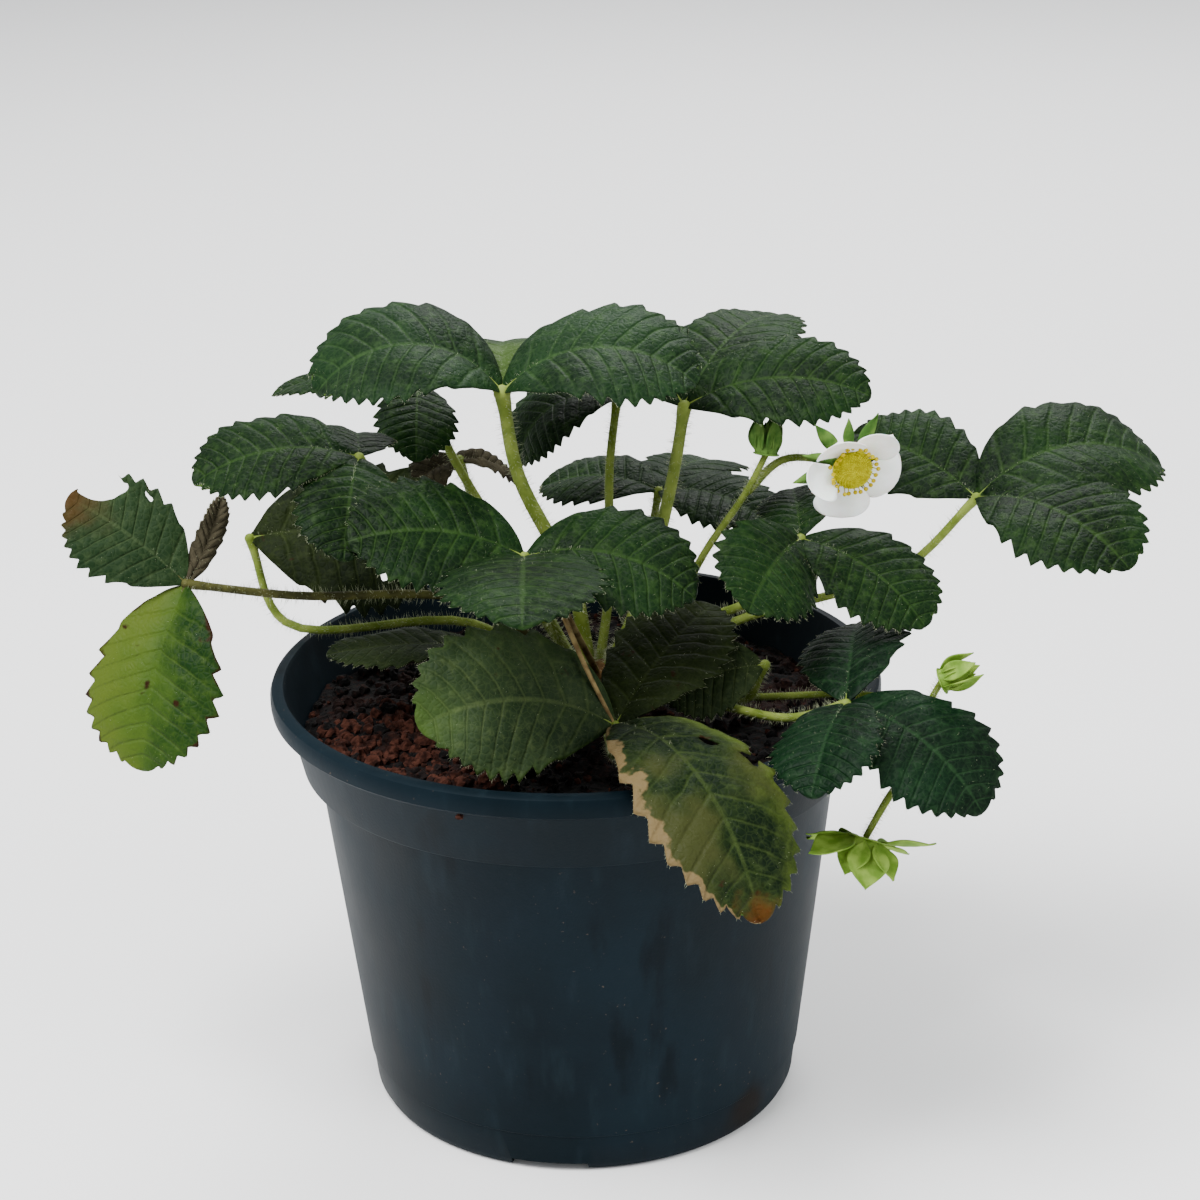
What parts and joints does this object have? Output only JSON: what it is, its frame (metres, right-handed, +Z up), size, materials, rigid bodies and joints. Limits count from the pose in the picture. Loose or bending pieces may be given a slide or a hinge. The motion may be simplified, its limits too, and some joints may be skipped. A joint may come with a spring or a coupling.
{
  "type": "potted strawberry plant",
  "caption": "Strawberry plant with toothed three-part leaves, a white flower and a young fruit, growing in soil in a round tapered nursery pot.",
  "frame": {"origin": "middle of the pot's flat underside", "axes": "+Z up, along the pot's axis, +X toward the side with the flower, -Y toward the front"},
  "size_m": [0.2872, 0.1839, 0.2149],
  "materials": {
    "pot_plastic": "satin",
    "soil": "rough",
    "crown": "rough",
    "leaf": "satin",
    "old_leaf": "satin",
    "dead_leaf": "matt",
    "stalk": "satin",
    "petal": "soft",
    "flower_eye": "matt",
    "young_fruit": "matt"
  },
  "bodies": {
    "root": {"pot": "pot_plastic", "soil": "soil", "crown": "crown", "crest_leaf": "leaf", "crest_stalk": "stalk", "right_high_leaf": "leaf", "right_high_stalk": "stalk", "right_far_leaf": "leaf", "right_far_stalk": "stalk", "front_mid_leaf": "leaf", "front_mid_stalk": "stalk", "left_high_leaf": "leaf", "left_high_stalk": "stalk", "left_back_leaf": "leaf", "left_back_stalk": "stalk", "back_small_leaf": "leaf", "back_small_stalk": "stalk", "back_low_leaf": "leaf", "back_low_stalk": "stalk", "left_old_leaf": "old_leaf", "left_old_stalk": "stalk", "left_low_leaf": "leaf", "left_low_stalk": "stalk", "left_trail_leaf": "old_leaf", "left_trail_stalk": "stalk", "front_low_leaf": "leaf", "front_low_stalk": "stalk", "middle_low_leaf": "leaf", "middle_low_stalk": "stalk", "right_low_leaf": "leaf", "right_low_stalk": "stalk", "flower_side_leaf": "leaf", "flower_side_stalk": "stalk", "withered_leaf": "dead_leaf", "withered_stalk": "stalk", "flower_truss": "stalk", "petals": "petal", "eye": "flower_eye", "fruit_truss": "stalk", "young_fruit": "young_fruit"}
  },
  "joints": []
}
